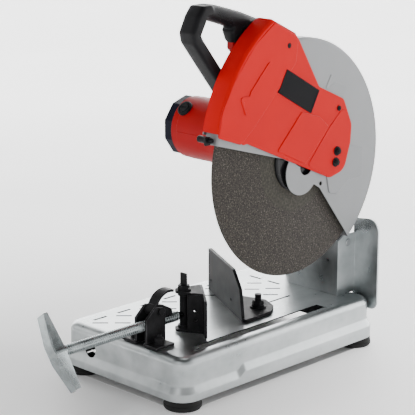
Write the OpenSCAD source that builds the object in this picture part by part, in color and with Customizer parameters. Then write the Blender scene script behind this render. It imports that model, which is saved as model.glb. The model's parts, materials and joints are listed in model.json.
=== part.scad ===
// Abrasive chop saw: pressed-steel base, quick-release vise, mitre fence,
// and a spring-balanced motor arm carrying a 355 mm cutting disc.
// X runs to the disc side, Y to the back, Z up from the bench.

/* [Base] */
// Width over the bottom flange
base_w = 270; // [262:1:280]
// Depth over the bottom flange
base_l = 440; // [434:1:450]
// Height from the bottom flange to the top face
base_h = 64; // [60:1:68]
// Plan radius of the four corners
corner_r = 30; // [24:1:34]
// Sheet thickness of the pressed tray
sheet = 2; // [1.5:0.1:2.5]
// Height of the rubber feet below the flange
foot_h = 16; // [14:1:20]
// Outer radius of a rubber foot
foot_r = 28; // [24:1:29]

/* [Disc and drive] */
// Cutting disc radius
disc_r = 177.5; // [170:0.5:178]
// Cutting disc thickness
disc_t = 3.2; // [2.8:0.1:3.4]
// Bore radius of the disc
disc_bore_r = 12.7; // [10:0.1:12.7]
// Sideways place of the disc's middle plane
disc_x = 102; // [100:0.5:103]
// Arbor height above the bench, arm raised
arbor_z = 326; // [318:1:330]
// Arbor distance behind the base's middle, arm raised
arbor_y = 49; // [44:1:54]
// Gear tooth size (module)
gear_m = 2; // [2:1:2]
// Teeth on the arbor gear
gear_teeth = 40; // [38:2:40]
// Teeth on the motor pinion
pinion_teeth = 10; // [10:1:10]

/* [Arm] */
// Height of the arm's pivot shaft above the bench
pivot_z = 165; // [164:0.5:168]
// Pivot shaft distance behind the base's middle
pivot_y = 197; // [196:0.5:199]
// Radius of the pivot shaft
pivot_r = 6; // [5:0.5:7]
// Radius of the disc guard
guard_r = 184.5; // [184:0.5:185]

/* [Vise] */
// Sideways place of the vise spindle
vise_x = 34; // [30:1:38]
// Spindle height above the bench
vise_z = 107; // [105:1:109]
// Radius over the spindle thread
spindle_r = 7.8; // [7:0.1:8]
// Place of the jaw pin along the base
jaw_y = -118; // [-126:1:-112]
// Length of the T-handle's bar
handle_l = 116; // [110:1:126]
// Angle that the swivelling jaw stands at, from square to the disc
jaw_angle = 40; // [30:1:44]

/* [Fence] */
// Angle that the fence is set to, from square to the disc
fence_angle = 28.2; // [28:0.1:29]
// Length of the fence plate
fence_l = 174; // [168:1:176]
// Height of the fence plate
fence_h = 70; // [64:1:76]

/* [Hidden] */
$fn = 64;

gap = 0.05;                      // radial play of a running fit
bolt_r = 4;                      // M8 bolts of the base, vise and fence
bolt_hole_r = 4.2;
washer_r = 8.5;
nut_r = 7.5;                     // over the corners of a nut
nut_t = 6.5;
top_z = foot_h + base_h;         // top face of the base
wall_in = 6;                     // how far the tray's wall stands inside its flange
fold_r = 10;                     // size of the fold round the top face
wall_y = base_l / 2 - wall_in;   // outside of the tray's end walls
foot_x = base_w / 2 - 28;        // feet, from the middle
foot_y = base_l / 2 - 28;
bench_hole_r = 4.5;              // bench bolt holes through the feet
foot_neck_r = 12;                // neck of a foot in its corner tab

bracket_t = 3;                   // sheet of the rear bracket
bracket_y = pivot_y - 25;        // its front face
bracket_x0 = -16;                // its left and right cheeks, outside faces
bracket_x1 = 88;
bracket_top = 171;
flange_x1 = base_w / 2;
flange_top = 208;

motor_dy = -39;                  // motor axis from the arbor
motor_dz = sqrt(pow(gear_m * (gear_teeth + pinion_teeth) / 2, 2) - motor_dy * motor_dy);
motor_r = 48;
motor_x0 = -101;                 // outer end of the motor
housing_x0 = -75;                // joint between end cap and housing
gearbox_x0 = 20;
gearbox_x1 = 78;
flange_r = 47;                   // clamping flanges of the disc
lock_pin_r = 2.5;                // spindle lock pin

disc_x0 = disc_x - disc_t / 2;
disc_x1 = disc_x + disc_t / 2;
guard_x0 = 86.5;
guard_x1 = 112.5;
guard_t = 1.5;
cover_x0 = 84.5;
cover_x1 = 116;
cover_t = 2;
cover_r = 227;                   // radius of the cover's front arc
cover_c = [44.6, 20];            // its centre, from the arbor

handle_x = 66;                   // split plane of the handle
handle_half = 16;                // half of its width

function unit(v) = v / norm(v);
// Points of an arc that rounds the corner b between a and c
function corner(a, b, c, r, n = 5) = r <= 0 ? [b] :
    let (u = unit(a - b), w = unit(c - b), half = acos(u * w) / 2,
        m = b + unit(u + w) * r / sin(half),
        s = b + u * r / tan(half) - m, e = b + w * r / tan(half) - m,
        a0 = atan2(s.y, s.x), turn = atan2(s.x * e.y - s.y * e.x, s * e))
    [for (i = [0 : n]) m + r * [cos(a0 + turn * i / n), sin(a0 + turn * i / n)]];
// Outline from [x, y, radius] corners
function outline(p) = [for (i = [0 : len(p) - 1])
    let (a = p[(i + len(p) - 1) % len(p)], b = p[i], c = p[(i + 1) % len(p)])
    each corner([a.x, a.y], [b.x, b.y], [c.x, c.y], b.z)];
function arc(c, r, a0, a1, n) = [for (i = [0 : n]) c + r * [cos(a0 + (a1 - a0) * i / n),
    sin(a0 + (a1 - a0) * i / n)]];

// Extrudes a YZ outline from x0 to x1
module slab(x0, x1) translate([x0, 0, 0]) rotate([90, 0, 90]) linear_extrude(x1 - x0) children();
// Round bar along X, Y or Z
module bar_x(r, x0, x1) translate([x0, 0, 0]) rotate([0, 90, 0]) cylinder(r = r, h = x1 - x0);
module bar_y(r, y0, y1) translate([0, y0, 0]) rotate([-90, 0, 0]) cylinder(r = r, h = y1 - y0);
module bar_z(r, z0, z1) translate([0, 0, z0]) cylinder(r = r, h = z1 - z0);
// Hexagon along X or Z
module hex_x(r, x0, x1) translate([x0, 0, 0]) rotate([0, 90, 0]) cylinder(r = r, h = x1 - x0, $fn = 6);
module hex_z(r, z0, z1) translate([0, 0, z0]) cylinder(r = r, h = z1 - z0, $fn = 6);
// Bar with round ends of two sizes
module link2d(p, pr, q, qr, n = 20) {
    a = atan2(q.y - p.y, q.x - p.x);
    off = acos((pr - qr) / norm(q - p));
    polygon(concat(arc(p, pr, a + off, a + 360 - off, n), arc(q, qr, a - off, a + off, n)));
}
module rounded_rect(w, l, r) {
    square([w - 2 * r, l], center = true);
    square([w, l - 2 * r], center = true);
    for (sx = [-1, 1], sy = [-1, 1]) translate([sx * (w / 2 - r), sy * (l / 2 - r)]) circle(r = r,
        $fn = 32);
}
module at_arbor() translate([0, arbor_y, arbor_z]) children();
module at_motor() at_arbor() translate([0, motor_dy, motor_dz]) children();
module at_pivot() translate([0, pivot_y, pivot_z]) children();
module at_vise() translate([vise_x, 0, vise_z]) children();
module at_feet() for (sx = [-1, 1], sy = [-1, 1]) translate([sx * foot_x, sy * foot_y, 0]) children();

// ---- base ----

// Solid of the tray's outside, shrunk by d all round
module tray_form(d) {
    w = base_w - 2 * d;
    l = base_l - 2 * d;
    r = corner_r - d;
    module level(inset, z, h) translate([0, 0, foot_h + z - d]) linear_extrude(h)
        rounded_rect(w - 2 * inset, l - 2 * inset, r - inset);
    level(0, 0, 12);
    hull() { level(0, 12, 0.01); level(wall_in, 22, 0.01); }
    level(wall_in, 22, base_h - fold_r - 22);
    hull() {
        level(wall_in, base_h - fold_r, 0.01);
        level(wall_in + fold_r * 0.3, base_h - fold_r * 0.3, 0.01);
        level(wall_in + fold_r, base_h - 0.01, 0.01);
    }
}
module chip_slot(x, y, a, l = 22) translate([x, y, top_z]) rotate([0, 0, a]) cube([l, 2, 3 * sheet],
    center = true);
module base_tray() color("silver") difference() {
    tray_form(0);
    difference() {
        tray_form(sheet);
        at_feet() translate([0, 0, foot_h]) cube([64, 64, 2 * sheet], center = true);
    }
    at_feet() bar_z(foot_neck_r + gap, 0, foot_h + 10);
    // disc slot
    translate([disc_x - 9, -156, top_z - 3 * sheet]) cube([18, 272, 4 * sheet]);
    // chip slots: a row along the left edge, a row along the back, and slanted ones inside them
    for (i = [0 : 5]) chip_slot(-98, -168 + 49 * i, 90, 26);
    for (i = [0 : 5]) chip_slot(-81, -183 + 48.5 * i, 45);
    for (i = [0 : 4]) chip_slot(-57, -159 + 48.5 * i, 45);
    for (i = [0 : 2]) chip_slot(-75 + 41 * i, 155, 0, 26);
    for (i = [0 : 1]) chip_slot(-56 + 41 * i, 139, 45);
    for (i = [0 : 1]) chip_slot(-33 + 41 * i, 115, 45);
    translate([32, 97, top_z]) cube([4, 48, 3 * sheet], center = true);
    // arc slot of the fence's lock bolt
    at_fence_pivot() difference() {
        bar_z(fence_lock_r + 4.5, top_z - 3 * sheet, top_z + 1);
        bar_z(fence_lock_r - 4.5, top_z - 4 * sheet, top_z + 2);
        rotate([0, 0, fence_lock_a - fence_turn - 4]) translate([0, -200, top_z - 10]) cube([400, 200, 20]);
        rotate([0, 0, fence_lock_a + 4]) translate([0, 0, top_z - 10]) cube([400, 200, 20]);
        rotate([0, 0, fence_lock_a + 90]) translate([-200, 0, top_z - 10]) cube([400, 200, 20]);
    }
    at_fence_pivot() bar_z(4.5, top_z - 10, top_z + 1);
    // vise bracket bolts and the nut bracket's foot bolts
    at_vise_bolts() bar_z(bolt_hole_r, top_z - 10, top_z + 1);
    // rear bracket bolts
    at_bracket_bolts() bar_z(bolt_hole_r, top_z - 10, top_z + 1);
    // round hole in the front wall
    translate([-69, 0, 48]) bar_y(12, -base_l / 2 - 1, -base_l / 2 + 20);
}

// Snap-in rubber foot with a bench bolt hole
module foot(sx, sy) color([0.06, 0.06, 0.06]) translate([sx * foot_x, sy * foot_y, 0]) difference() {
    union() {
        bar_z(foot_r - 2, 0, 2);
        bar_z(foot_r, 2, foot_h);
        bar_z(foot_neck_r, foot_h, foot_h + sheet);
        bar_z(foot_neck_r + 3, foot_h + sheet, foot_h + sheet + 4);
    }
    bar_z(bench_hole_r, -1, foot_h + 20);
}
module foot_front_left() foot(-1, -1);
module foot_front_right() foot(1, -1);
module foot_rear_left() foot(-1, 1);
module foot_rear_right() foot(1, 1);

bracket_foot_l = 36;             // depth of the bracket's inner foot
module at_bracket_bolts() for (x = [4, 36, 68]) translate([x, bracket_y + 22, 0]) children();
module at_wing_bolts() for (x = [-46, 104]) translate([x, 0, 76]) children();
// Bent plate: inner foot, front plate, two cheeks and two wings, the right wing being the spark shield
module rear_bracket() color([0.72, 0.74, 0.75]) difference() {
    union() {
        translate([bracket_x0, bracket_y, top_z]) cube([bracket_x1 - bracket_x0, bracket_foot_l,
            bracket_t]);
        translate([bracket_x0, bracket_y, top_z]) cube([bracket_x1 - bracket_x0, bracket_t,
            bracket_top - top_z]);
        for (x = [bracket_x0, bracket_x1 - bracket_t]) slab(x, x + bracket_t) polygon(outline([
            [bracket_y, top_z, 0], [wall_y + bracket_t, top_z, 0], [wall_y + bracket_t, bracket_top + 8, 0],
            [pivot_y - 8, bracket_top + 8, 10], [bracket_y, bracket_top, 0]]));
        translate([0, wall_y + bracket_t, 0]) rotate([90, 0, 0]) linear_extrude(bracket_t) {
            polygon(outline([[bracket_x1 - bracket_t, 57, 0], [flange_x1, 57, 12],
                [flange_x1, flange_top, 20], [bracket_x1 - bracket_t, flange_top - 6, 3]]));
            polygon(outline([[bracket_x0 - 44, 65, 10], [bracket_x0 + bracket_t, 65, 0],
                [bracket_x0 + bracket_t, bracket_top, 0], [bracket_x0 - 44, bracket_top, 14]]));
        }
    }
    at_pivot() bar_x(pivot_r + gap, bracket_x0 - 1, bracket_x1 + 1);
    at_bracket_bolts() bar_z(bolt_hole_r, top_z - 1, top_z + 9);
    at_wing_bolts() bar_y(3.2, wall_y - 1, wall_y + 9);
    translate([stop_x, 0, stop_z]) bar_y(3.1, bracket_y - 1, bracket_y + 9);
}
module bracket_bolts() color([0.35, 0.36, 0.38]) {
    at_bracket_bolts() {
        bar_z(bolt_r, top_z - 14, top_z + bracket_t);
        bar_z(washer_r, top_z + bracket_t, top_z + bracket_t + 1.6);
        hex_z(7, top_z + bracket_t + 1.6, top_z + bracket_t + 7);
        hex_z(nut_r, top_z - sheet - nut_t, top_z - sheet);
    }
    at_wing_bolts() bar_y(6.5, wall_y + bracket_t, wall_y + bracket_t + 3);
}
module pivot_shaft() color([0.6, 0.62, 0.64]) at_pivot() {
    bar_x(pivot_r, bracket_x0 - 7, bracket_x1 + 1);
    bar_x(9, bracket_x0 - 9, bracket_x0 - 6.5);
}
module pivot_collars() color([0.4, 0.4, 0.42]) at_pivot() for (x = [[bracket_x0 - 6, bracket_x0 - 0.2],
    [bracket_x0 + bracket_t + 0.2, 5.6], [64.4, 68]]) difference() {
        bar_x(9.5, x[0], x[1]);
        bar_x(pivot_r + 0.01, x[0] - 1, x[1] + 1);
    }
// Spring coil as a stack of plain rings, with one leg down from its back
module torsion_spring() color([0.3, 0.3, 0.32]) at_pivot() {
    for (i = [0 : 3]) difference() {
        bar_x(12.6, 70 + 3.4 * i, 73.2 + 3.4 * i);
        bar_x(9.4, 69 + 3.4 * i, 74 + 3.4 * i);
    }
    translate([71.6, 0, 0]) rotate([-25, 0, 0]) translate([0, 11, 0]) bar_z(1.4, -40, 1);
}
stop_x = 26;
stop_z = 130;
stop_lug_r = 7;                  // end of the arm's tail, which rests on the screw with the arm raised
stop_tip_y = pivot_y - stop_lug_r - 0.3;
// Screw through the bracket's front plate that sets how high the arm stands
module stop_screw() color([0.3, 0.3, 0.32]) translate([stop_x, 0, stop_z]) {
    bar_y(3, bracket_y - 12, stop_tip_y);
    rotate([-90, 0, 0]) translate([0, 0, bracket_y + bracket_t]) cylinder(r = 5.8, h = 5, $fn = 6);
    rotate([-90, 0, 0]) translate([0, 0, bracket_y - 5.2]) cylinder(r = 5.8, h = 5, $fn = 6);
}

// ---- arm ----

knee = [pivot_y - 9, pivot_z + 71];
module gearbox_2d(grow = 0) link2d([0, 0], 50 + grow, [motor_dy, motor_dz], motor_r + 2 + grow);
// Cast arm: pivot hub with the stop's tail, goose neck and the open gearbox
module arm_casting() color([0.62, 0.63, 0.65]) difference() {
    union() {
        slab(32, 64) {
            link2d([pivot_y, pivot_z], 12, knee, 18);
            link2d(knee, 18, [arbor_y + 8, arbor_z + 6], 34);
        }
        at_pivot() bar_x(16, 6, 64);
        slab(stop_x - 7, stop_x + 7)
            link2d([pivot_y, pivot_z], stop_lug_r, [pivot_y, stop_z], stop_lug_r);
        at_arbor() slab(gearbox_x0, 70) gearbox_2d();
    }
    at_pivot() bar_x(pivot_r + gap, 0, 80);
    at_arbor() slab(gearbox_x0 + 10, 71) link2d([0, 0], 44.5, [motor_dy, motor_dz], 24);
    at_arbor() bar_x(16, gearbox_x0 + 2, 40);
    at_motor() bar_x(13 + gap, gearbox_x0 - 1, 40);
    for (p = gearbox_screw_at) at_arbor() translate([0, p.x, p.y]) bar_x(2.55, 50, 72);
    spindle_lock_place() bar_z(lock_pin_r + gap, 30, 60);
}
gearbox_screw_at = [[0, -47], [46, -8], [-78, 40], [30, 36]];
// Right side of the gearbox with the nose that carries the arbor
module gearbox_cover() color([0.58, 0.59, 0.61]) at_arbor() difference() {
    union() {
        slab(70, gearbox_x1) gearbox_2d();
        bar_x(30, gearbox_x1, 86);
    }
    bar_x(20, 69, 83);
    bar_x(13.2, 69, 87);
    for (p = gearbox_screw_at) translate([0, p.x, p.y]) bar_x(2.7, 69, 90);
}
module gearbox_screws() color([0.25, 0.25, 0.27]) at_arbor() for (p = gearbox_screw_at) translate([0,
    p.x, p.y]) {
    bar_x(2.5, 54, gearbox_x1);
    bar_x(4.5, gearbox_x1, gearbox_x1 + 3.4);
}

// Front arc of the cover, from its lower end up over the top
function cover_front(r) = arc(cover_c, r, 169.3, 119.5, 16);
// Side outline of the red cover, from the arbor
function cover_side(r) = concat(cover_front(r), outline([[-16, 192, 4], [-8, 182, 6], [38, 108, 8],
    [96, 82, 12], [116, 40, 22], [114, 12, 12], [100, -30, 22], [66, -37, 16], [-118, 44, 6],
    [-134, 42, 4]]));
// Flat plate behind the guard, bolted to the gearbox nose
module back_plate() color([0.55, 0.56, 0.58]) at_arbor() difference() {
    slab(82.2, 84.2) polygon(cover_side(cover_r - cover_t - 1));
    bar_x(30 + gap, 80, 90);
}
cover_screw_at = [[-32, 177], [84, 69]];
guard_bolt_at = [[81, 3], [78, -14]];
hub_c = [5, -18];                // rounded foot of the guard plate below the arbor
guard_w = [-36, 8];              // where the front lip meets the rounded foot
guard_v = [48, -50];             // valley beside the rounded foot
// Side plate of the disc guard
module guard_side_2d() {
    polygon(concat([guard_v, [20, -50], hub_c, guard_w], arc([0, 0], guard_r, 164.5, -50, 60)));
    translate(hub_c) circle(r = 36);
}
module disc_guard() color([0.75, 0.76, 0.77]) at_arbor() {
    difference() {
        slab(guard_x1 - guard_t, guard_x1) guard_side_2d();
        bar_x(17, 100, 120);
        translate([0, 48, -42]) bar_x(3, 100, 120);
        for (p = guard_bolt_at) translate([0, p.x, p.y]) bar_x(3.6, 100, 120);
        for (p = cover_screw_at) translate([0, p.x, p.y]) bar_x(2.4, 100, 120);
    }
    difference() {
        slab(guard_x0, guard_x1 - guard_t) polygon(concat([hub_c], arc([0, 0], guard_r, -50, 164.5, 60)));
        bar_x(guard_r - guard_t, 80, 120);
        slab(80, 120) polygon([[0, 0], [400, -480], [-400, -480], [-400, 108]]);
    }
    difference() {
        slab(guard_x0, guard_x0 + guard_t) difference() {
            polygon(concat([hub_c], arc([0, 0], guard_r, -50, 164.5, 60)));
            circle(r = 60);
        }
        slab(80, 120) polygon([[-8, -6], [400, -480], [-400, -480], [-400, 100]]);
    }
}
// Moulded red cover over the front and top of the guard
module red_cover() color([0.82, 0.04, 0.05]) at_arbor() difference() {
    union() {
        slab(cover_x1 - cover_t, cover_x1) polygon(cover_side(cover_r));
        difference() {
            slab(cover_x0, cover_x1) polygon(cover_side(cover_r));
            slab(cover_x0 - 1, cover_x1 - cover_t) polygon(cover_side(cover_r - cover_t));
            slab(cover_x0 - 1, cover_x1 - cover_t) polygon([[0, 0], [-14, 196], [60, 260], [400, 120],
                [400, -480], [-400, -480], [-400, 142], [-177, 61]]);
            bar_x(guard_r + 0.5, cover_x0 - 1, cover_x1 - cover_t);
        }
    }
    for (p = cover_screw_at) translate([0, p.x, p.y]) bar_x(2.25, guard_x1 - guard_t - 4, 120);
    for (p = guard_bolt_at) translate([0, p.x, p.y]) bar_x(3.6, 80, 120);
}
module cover_screws() color([0.12, 0.12, 0.13]) at_arbor() for (p = cover_screw_at) translate([0, p.x,
    p.y]) {
    bar_x(2.2, guard_x1 - guard_t - 3, cover_x1);
    bar_x(4, cover_x1, cover_x1 + 2);
}
module guard_bolts() color([0.1, 0.1, 0.1]) at_arbor() for (p = guard_bolt_at) translate([0, p.x, p.y]) {
    bar_x(3.5, guard_x1 - guard_t - 4, cover_x1);
    bar_x(7, cover_x1, cover_x1 + 1.2);
    hex_x(6, cover_x1 + 1.2, cover_x1 + 5);
}
knob_at = [-184, 57];            // from the arbor
// Black knob and its collar at the front end of the guard
module guard_knob() color([0.07, 0.07, 0.08]) at_arbor() {
    translate([0, knob_at.x, knob_at.y]) {
        bar_x(4.8, 83, 100);
        bar_x(3.8, 100, 111);
    }
    difference() {
        translate([101, -193, 49]) cube([3, 14, 11]);
        bar_x(guard_r + 0.05, 100, 105);
    }
}
label_c = [-14, 103];
module label_plate() color([0.07, 0.07, 0.07]) at_arbor() slab(cover_x1, cover_x1 + 0.6)
    translate(label_c) rotate(-30) square([88, 40], center = true);

// ---- disc and drive ----

module cutting_disc() color([0.24, 0.22, 0.2]) at_arbor() difference() {
    bar_x(disc_r, disc_x0, disc_x1);
    bar_x(disc_bore_r, disc_x0 - 1, disc_x1 + 1);
}
module clamp_flange(x0, x1, relief_x0, relief_x1) at_arbor() difference() {
    bar_x(flange_r, x0, x1);
    bar_x(disc_bore_r, x0 - 1, x1 + 1);
    difference() {
        bar_x(36, relief_x0, relief_x1);
        bar_x(20, relief_x0 - 1, relief_x1 + 1);
    }
}
module inner_flange() color([0.1, 0.1, 0.11]) clamp_flange(91, disc_x0, disc_x0 - 1, disc_x0 + 1);
module outer_flange() color([0.08, 0.08, 0.09]) clamp_flange(disc_x1, 108.2, disc_x1 - 1, disc_x1 + 1);
module arbor_bolt() color([0.15, 0.15, 0.16]) at_arbor() {
    bar_x(5, 94, 109);
    bar_x(15, 108.2, 109.6);
    hex_x(9.5, 109.6, 113.1);
}
module arbor_shaft() color([0.7, 0.71, 0.72]) at_arbor() difference() {
    union() {
        bar_x(7.5, 24, 34.5);
        bar_x(14, 34.5, 41.5);
        bar_x(10, 41.5, 68);
        bar_x(12.5, 68, 90);
        bar_x(18, 90, 91);
        bar_x(disc_bore_r, 91, 107.8);
    }
    bar_x(5, 94, 109);
    translate([38, 0, 0]) for (a = [0, 90]) rotate([lock_a + a, 0, 0]) bar_z(lock_pin_r + 0.2, -20, 20);
}
// Straight-sided spur gear outline with generous backlash
module gear_2d(teeth) {
    pitch_r = gear_m * teeth / 2;
    polygon([for (i = [0 : teeth - 1], t = [[-0.30, -1.15], [-0.19, -0.2], [-0.09, 0.8], [0.09, 0.8],
        [0.19, -0.2], [0.30, -1.15]])
            let (a = 360 / teeth * (i + t[0])) (pitch_r + gear_m * t[1]) * [cos(a), sin(a)]]);
}
mesh_a = atan2(motor_dz, motor_dy);  // direction of the pinion seen from the arbor
module arbor_gear() color([0.45, 0.46, 0.48]) at_arbor() difference() {
    slab(46, 58) rotate(mesh_a) gear_2d(gear_teeth);
    bar_x(10, 45, 59);
}
module motor_pinion() color([0.45, 0.46, 0.48]) at_motor() difference() {
    slab(45, 59) rotate(mesh_a + 180 + 180 / pinion_teeth) gear_2d(pinion_teeth);
    bar_x(4, 44, 60);
}
// Ball bearing: two rings and a closed row of balls between shields
module bearing(x0, x1, bore, outer) {
    difference() { bar_x(outer, x0, x1); bar_x(outer - 2.2, x0 - 1, x1 + 1); }
    difference() { bar_x(bore + 2, x0, x1); bar_x(bore, x0 - 1, x1 + 1); }
    difference() {
        bar_x(outer - 2.2, x0 + 1, x1 - 1);
        bar_x(bore + 2, x0 - 1, x1 + 1);
    }
}
module arbor_bearings() color([0.62, 0.63, 0.65]) at_arbor() {
    bearing(24, 34, 7.5 + gap, 16);
    bearing(70, 82.9, 12.5 + gap, 20);
}
module motor_housing() color([0.8, 0.04, 0.05]) at_motor() difference() {
    union() {
        bar_x(motor_r, housing_x0, 14);
        slab(14, gearbox_x0) circle(r = motor_r + 2);
        brush_place(1) bar_z(11, motor_r - 10, motor_r + 3);
    }
    bar_x(motor_r - 3, housing_x0 - 1, 16);
    bar_x(14, 0, 40);
    for (s = [-1, 1]) brush_place(s) bar_z(8, motor_r - 13, motor_r + 7);
}
gland_x = motor_x0 + 17.5;       // cord inlet, along the motor
brush_x = -58;                   // brushes, along the motor
brush_a = 44;                    // and round it
module brush_place(s) translate([brush_x, 0, 0]) rotate([brush_a + (s < 0 ? 180 : 0), 0, 0]) children();
module motor_end_cap() color([0.05, 0.06, 0.14]) at_motor() difference() {
    union() {
        bar_x(motor_r, motor_x0 + 8, housing_x0);
        bar_x(motor_r - 5, motor_x0, motor_x0 + 8);
    }
    bar_x(motor_r - 4, motor_x0 + 9, housing_x0 + 1);
    for (a = [0 : 30 : 330]) rotate([a, 0, 0]) translate([motor_x0 + 2, 0, 26]) cube([16, 4, 14],
        center = true);
    translate([gland_x, 0, 0]) bar_y(7, 30, 60);
}
module stator() color([0.4, 0.28, 0.18]) at_motor() difference() {
    bar_x(motor_r - 3, -22, 4);
    bar_x(27, -23, 5);
}
module armature() color([0.5, 0.42, 0.35]) at_motor() {
    bar_x(4, motor_x0 + 14, 60);
    bar_x(25, -24, 2);
    bar_x(13, brush_x - 9, brush_x + 9);
}
module cooling_fan() color([0.15, 0.15, 0.16]) at_motor() difference() {
    union() {
        bar_x(8, 5.5, 13.5);
        bar_x(37, 5.5, 7);
        for (a = [0 : 30 : 330]) rotate([a + 7, 0, 0]) translate([9.35, 0, 21.5]) cube([6.3, 1.5, 29],
            center = true);
    }
    bar_x(4, 5, 14);
}
module motor_bearings() color([0.62, 0.63, 0.65]) at_motor() {
    bearing(motor_x0 + 14, motor_x0 + 21, 4 + gap, 11);
    bearing(gearbox_x0, 29, 4 + gap, 13);
    difference() {
        bar_x(motor_r - 4, motor_x0 + 15, motor_x0 + 20);
        bar_x(11, motor_x0 + 14, motor_x0 + 21);
        for (a = [0 : 60 : 300]) rotate([a, 0, 0]) translate([motor_x0 + 17, 0, 25]) cube([8, 14, 16],
            center = true);
    }
}
module brush_caps() color([0.05, 0.05, 0.05]) at_motor() {
    brush_place(1) bar_z(7.9, motor_r - 7, motor_r + 4);
    brush_place(-1) bar_z(7.9, motor_r - 7, motor_r + 1.5);
}
module carbon_brushes() color([0.2, 0.2, 0.22]) at_motor() for (s = [-1, 1])
    brush_place(s) translate([-4, -3, 13.3]) cube([8, 6, motor_r - 21]);
// Inlet of the supply cord at the back of the end cap
module cable_gland() color([0.06, 0.06, 0.06]) at_motor() translate([gland_x, 0, 0]) difference() {
    bar_y(6.9, motor_r - 3.9, motor_r + 7);
    bar_y(4, motor_r + 1, motor_r + 8);
}

// ---- handle ----

// Centre line of the D-handle, from the arbor, with its thickness
grip_rear = [-26, 185];
grip_front = [-140, 230];
bar_top = [-163, 236];
bar_bend = [-184, 203];
bar_low = [-112, 110];
module handle_2d() difference() {
    union() {
        link2d(grip_rear, 15, grip_front, 13);
        link2d(grip_front, 13, bar_top, 11);
        link2d(bar_top, 11, bar_bend, 9);
        link2d(bar_bend, 9, bar_low, 9);
        link2d(bar_low, 9, [-70, 64], 12);
        polygon(outline([[-108, 214, 0], [-112, 196, 6], [-105, 185, 5], [-74, 174, 4], [-30, 172, 0],
            [-30, 190, 0]]));
        polygon([[-44, 184], [-14, 188], [13, 50], [-18, 50]]);
    }
    gearbox_2d(0.1);
}
handle_screw_at = [[-163, 236], [-179, 198], [-27, 186], [-12, 96]];
lock_off_at = [-122, 223];
module handle_half(x0, x1) at_arbor() difference() {
    slab(x0, x1) handle_2d();
    slab(handle_x - 9, handle_x + 9) polygon([[-96, 206], [-105.5, 200], [-104.5, 150], [-64, 150], [-64,
        190]]);
    for (p = handle_screw_at) translate([0, p.x, p.y]) {
        bar_x(2.1, 40, 90);
        bar_x(3.7, handle_x + handle_half - 2.2, 90);
    }
    if (x0 < handle_x) translate([0, lock_off_at.x, lock_off_at.y]) bar_x(5.1, 40, handle_x);
}
module handle_left() color([0.08, 0.08, 0.09]) handle_half(handle_x - handle_half, handle_x);
module handle_right() color([0.08, 0.08, 0.09]) handle_half(handle_x, handle_x + handle_half);
module handle_screws() color([0.2, 0.2, 0.2]) at_arbor() for (p = handle_screw_at) translate([0, p.x,
    p.y]) {
    bar_x(2, handle_x - handle_half + 2, handle_x + handle_half - 1);
    bar_x(3.6, handle_x + handle_half - 2.2, handle_x + handle_half - 0.3);
}
module switch_unit() color([0.16, 0.16, 0.18]) at_arbor() slab(handle_x - 8.5, handle_x + 8.5)
    polygon([[-96, 205.5], [-99, 197], [-72, 189], [-66, 190]]);
// Sliding trigger under the grip
module trigger() color([0.78, 0.04, 0.05]) at_arbor() slab(handle_x - 7, handle_x + 7) polygon(outline([
    [-103, 189, 0], [-103, 175, 3], [-96, 168, 4], [-72, 167, 2], [-68, 182, 0]]));
module lock_off_button() color([0.78, 0.04, 0.05]) at_arbor() translate([0, lock_off_at.x, lock_off_at.y])
    bar_x(5, handle_x - handle_half - 4, handle_x - 6);
lock_a = -38;                    // tilt of the spindle lock from upright
module spindle_lock_place() at_arbor() translate([38, 0, 0]) rotate([lock_a, 0, 0]) children();
module spindle_lock() color([0.1, 0.1, 0.1]) spindle_lock_place() {
    bar_z(lock_pin_r, 14.6, 58);
    bar_z(7, 58, 63);
}

// ---- vise ----

lever_at = [-177, 127];          // pin of the quick-release lever
cheek_x = [[-13, -9], [9, 13]];  // cheeks of the nut bracket, from the spindle
module at_vise_bolts() for (s = [-1, 1]) translate([vise_x + s * 24, -192, 0]) children();
module at_lever() translate([0, lever_at.x, lever_at.y]) children();
// Black nut bracket: two cheeks with feet
module vise_bracket() color([0.07, 0.07, 0.08]) difference() {
    union() {
        for (x = cheek_x) slab(vise_x + x[0], vise_x + x[1]) polygon(outline([[-206, top_z, 0],
            [-206, 119, 2], [-186, 136, 6], [-168, 129, 4], [-168, top_z, 0]]));
        for (x = [-37, 9]) translate([vise_x + x, -209, top_z]) cube([28, 36, 4]);
    }
    at_vise_bolts() bar_z(bolt_hole_r, top_z - 1, top_z + 9);
    at_lever() bar_x(bolt_r + gap, vise_x - 20, vise_x + 20);
    at_vise() bar_y(spindle_r + 0.3, -230, -150);
}
module vise_bolts() color([0.12, 0.12, 0.13]) at_vise_bolts() {
    bar_z(bolt_r, top_z - 14, top_z + 19);
    bar_z(washer_r, top_z + 4, top_z + 7);
    hex_z(nut_r, top_z + 7, top_z + 13);
    hex_z(nut_r, top_z - sheet - nut_t, top_z - sheet);
}
pad_z = vise_z + spindle_r + 0.4;  // underside of the lever's pad, just clear of the thread
// Quick-release lever: a pad that bears on top of the thread, and a curled thumb tab
module release_lever() color([0.08, 0.08, 0.09]) difference() {
    slab(vise_x - 8.5, vise_x + 8.5) {
        polygon(outline([[-188, 122, 0], [-190, 130, 3], [-182, 137, 5], [-168, 134, 4], [-150, 124, 4],
            [-150, pad_z, 1], [-172, pad_z, 0], [-176, 119, 2]]));
        polygon(concat(arc([-155, 124], 30, 172, 72, 12), arc([-155, 124], 26, 72, 172, 12)));
    }
    at_lever() bar_x(bolt_r + gap, vise_x - 20, vise_x + 20);
}
module lever_pin() color([0.5, 0.5, 0.52]) at_lever() {
    bar_x(bolt_r, vise_x - 15, vise_x + 15);
    bar_x(6, vise_x + 13.2, vise_x + 15.5);
}
module vise_spindle() color([0.7, 0.72, 0.73]) at_vise() {
    bar_y(spindle_r, tee_y - 4, jaw_y - 14);
    bar_y(5, jaw_y - 14, jaw_y + 9);
    bar_y(6.5, jaw_y + 8.4, jaw_y + 11);
}
jaw_reach = 27;                  // from the jaw pin to the back of the jaw plate
tee_y = -353;                    // inner edge of the T-handle
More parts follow.
